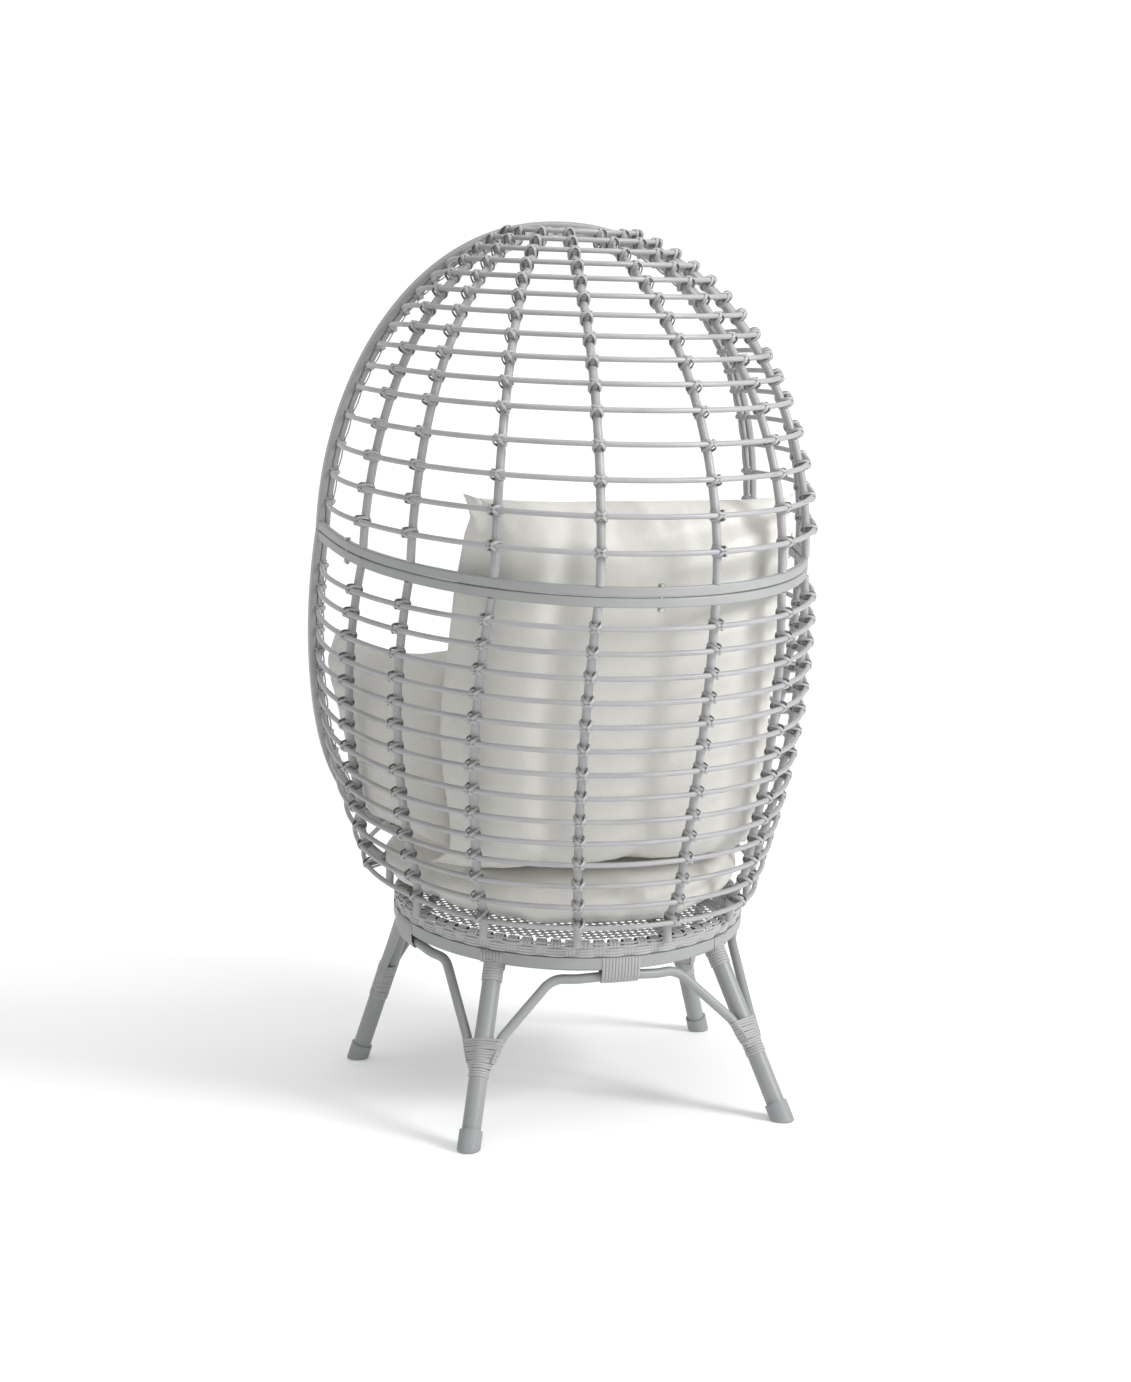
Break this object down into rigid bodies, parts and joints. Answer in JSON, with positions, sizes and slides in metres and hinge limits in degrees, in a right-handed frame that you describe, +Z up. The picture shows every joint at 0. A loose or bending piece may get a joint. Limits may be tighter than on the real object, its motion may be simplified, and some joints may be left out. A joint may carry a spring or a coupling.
{
  "type": "egg chair",
  "caption": "Free-standing rattan egg chair: open cane basket with front hoop, bolted split ring, woven seat ring, loose cushions and splayed legs tied by arched braces.",
  "frame": {"origin": "on the floor, under the middle of the chair's outline; the centre of the seat ring is 89.5 mm in front of it", "axes": "+Z up; the sitter looks towards -Y, out of the open hoop; +X to the sitter's left"},
  "size_m": [0.8457, 0.8388, 1.5019],
  "materials": {
    "painted_frame": "satin light grey powder coat",
    "painted_leg": "satin light grey powder coat on round tube",
    "rattan_rib": "light grey all-weather rattan wrap",
    "rattan_cane": "light grey round synthetic cane",
    "rattan_binding": "flat light grey rattan strand",
    "woven_band": "flat light grey rattan weave",
    "cane_seat": "open grey cane weave",
    "foot_cap_plastic": "moulded grey foot cap",
    "bolt_steel": "zinc plated",
    "cushion_fabric": "off-white woven polyester"
  },
  "bodies": {
    "root": {"back_cushion": "cushion_fabric", "base_ring": "painted_frame", "brace_front": "painted_leg", "brace_left": "painted_leg", "brace_rear": "painted_leg", "brace_right": "painted_leg", "brace_tie_front": "rattan_binding", "brace_tie_left": "rattan_binding", "brace_tie_rear": "rattan_binding", "brace_tie_right": "rattan_binding", "cane_seat": "cane_seat", "fan_binding_front_left": "rattan_binding", "fan_binding_front_right": "rattan_binding", "fan_binding_rear_left": "rattan_binding", "fan_binding_rear_right": "rattan_binding", "foot_cap_front_left": "foot_cap_plastic", "foot_cap_front_right": "foot_cap_plastic", "foot_cap_rear_left": "foot_cap_plastic", "foot_cap_rear_right": "foot_cap_plastic", "joint_bolts": "bolt_steel", "joint_nuts": "bolt_steel", "leg_front_left": "painted_leg", "leg_front_right": "painted_leg", "leg_rear_left": "painted_leg", "leg_rear_right": "painted_leg", "lower_canes_high": "rattan_cane", "lower_canes_low": "rattan_cane", "lower_hoop": "painted_frame", "lower_rib_left_1": "rattan_rib", "lower_rib_left_2": "rattan_rib", "lower_rib_left_3": "rattan_rib", "lower_rib_left_4": "rattan_rib", "lower_rib_right_1": "rattan_rib", "lower_rib_right_2": "rattan_rib", "lower_rib_right_3": "rattan_rib", "lower_rib_right_4": "rattan_rib", "lower_rim_rod": "rattan_rib", "lower_split_bar": "painted_frame", "seat_cushion": "cushion_fabric", "side_cushion_left": "cushion_fabric", "side_cushion_right": "cushion_fabric", "top_binding_front_left": "rattan_binding", "top_binding_front_right": "rattan_binding", "top_binding_rear_left": "rattan_binding", "top_binding_rear_right": "rattan_binding", "upper_canes_high": "rattan_cane", "upper_canes_low": "rattan_cane", "upper_hoop": "painted_frame", "upper_rib_left_1": "rattan_rib", "upper_rib_left_2": "rattan_rib", "upper_rib_left_3": "rattan_rib", "upper_rib_left_4": "rattan_rib", "upper_rib_right_1": "rattan_rib", "upper_rib_right_2": "rattan_rib", "upper_rib_right_3": "rattan_rib", "upper_rib_right_4": "rattan_rib", "upper_rim_rod": "rattan_rib", "upper_split_bar": "painted_frame", "woven_band": "woven_band"}
  },
  "joints": []
}
